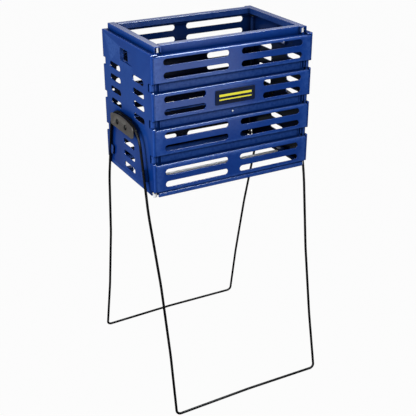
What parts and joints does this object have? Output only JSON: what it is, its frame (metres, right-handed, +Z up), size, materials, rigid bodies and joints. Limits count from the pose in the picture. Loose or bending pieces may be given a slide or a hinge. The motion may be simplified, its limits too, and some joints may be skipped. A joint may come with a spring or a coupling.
{
  "type": "tennis ball basket",
  "caption": "Slotted plastic basket for tennis balls, open at the top, standing on two wire legs that fold up over it.",
  "frame": {"origin": "on the floor, under the middle of the basket", "axes": "+Z up, -Y the front of the basket with the label plate, +X to the right seen from the front"},
  "size_m": [0.4094, 0.4134, 0.8069],
  "materials": {
    "blue_plastic": "satin moulded plastic",
    "black_wire": "glossy black coating",
    "bright_steel": "bright",
    "grey_plate": "satin",
    "navy_label": "satin",
    "black_nylon": "matt"
  },
  "bodies": {
    "basket": {"front_panel": "blue_plastic", "back_panel": "blue_plastic", "left_panel": "blue_plastic", "right_panel": "blue_plastic", "bracket_left": "grey_plate", "bracket_right": "grey_plate", "corner_rod_front_left": "bright_steel", "corner_rod_front_right": "bright_steel", "corner_rod_rear_left": "bright_steel", "corner_rod_rear_right": "bright_steel", "rim_pin_front_left": "bright_steel", "rim_pin_front_right": "bright_steel", "rim_pin_rear_left": "bright_steel", "rim_pin_rear_right": "bright_steel", "pivot_pin_front_left": "black_wire", "pivot_pin_front_right": "black_wire", "pivot_pin_rear_left": "black_wire", "pivot_pin_rear_right": "black_wire", "spacer_front_left": "black_nylon", "spacer_front_right": "black_nylon", "spacer_rear_left": "black_nylon", "spacer_rear_right": "black_nylon", "bottom_bar_front": "bright_steel", "bottom_bar_rear": "bright_steel", "label_plate": "navy_label", "label_rivet": "bright_steel"},
    "front_leg": {"front_leg": "black_wire"},
    "rear_leg": {"rear_leg": "black_wire"}
  },
  "joints": [
    {"name": "front_leg_fold", "type": "hinge", "parent": "basket", "child": "front_leg", "pos_m": [0, 0.0206, 0.62], "axis": [-1, 0, 0], "range_deg": [0, 157.5]},
    {"name": "rear_leg_fold", "type": "hinge", "parent": "basket", "child": "rear_leg", "pos_m": [0, -0.0206, 0.62], "axis": [1, 0, 0], "range_deg": [0, 157.5]}
  ]
}
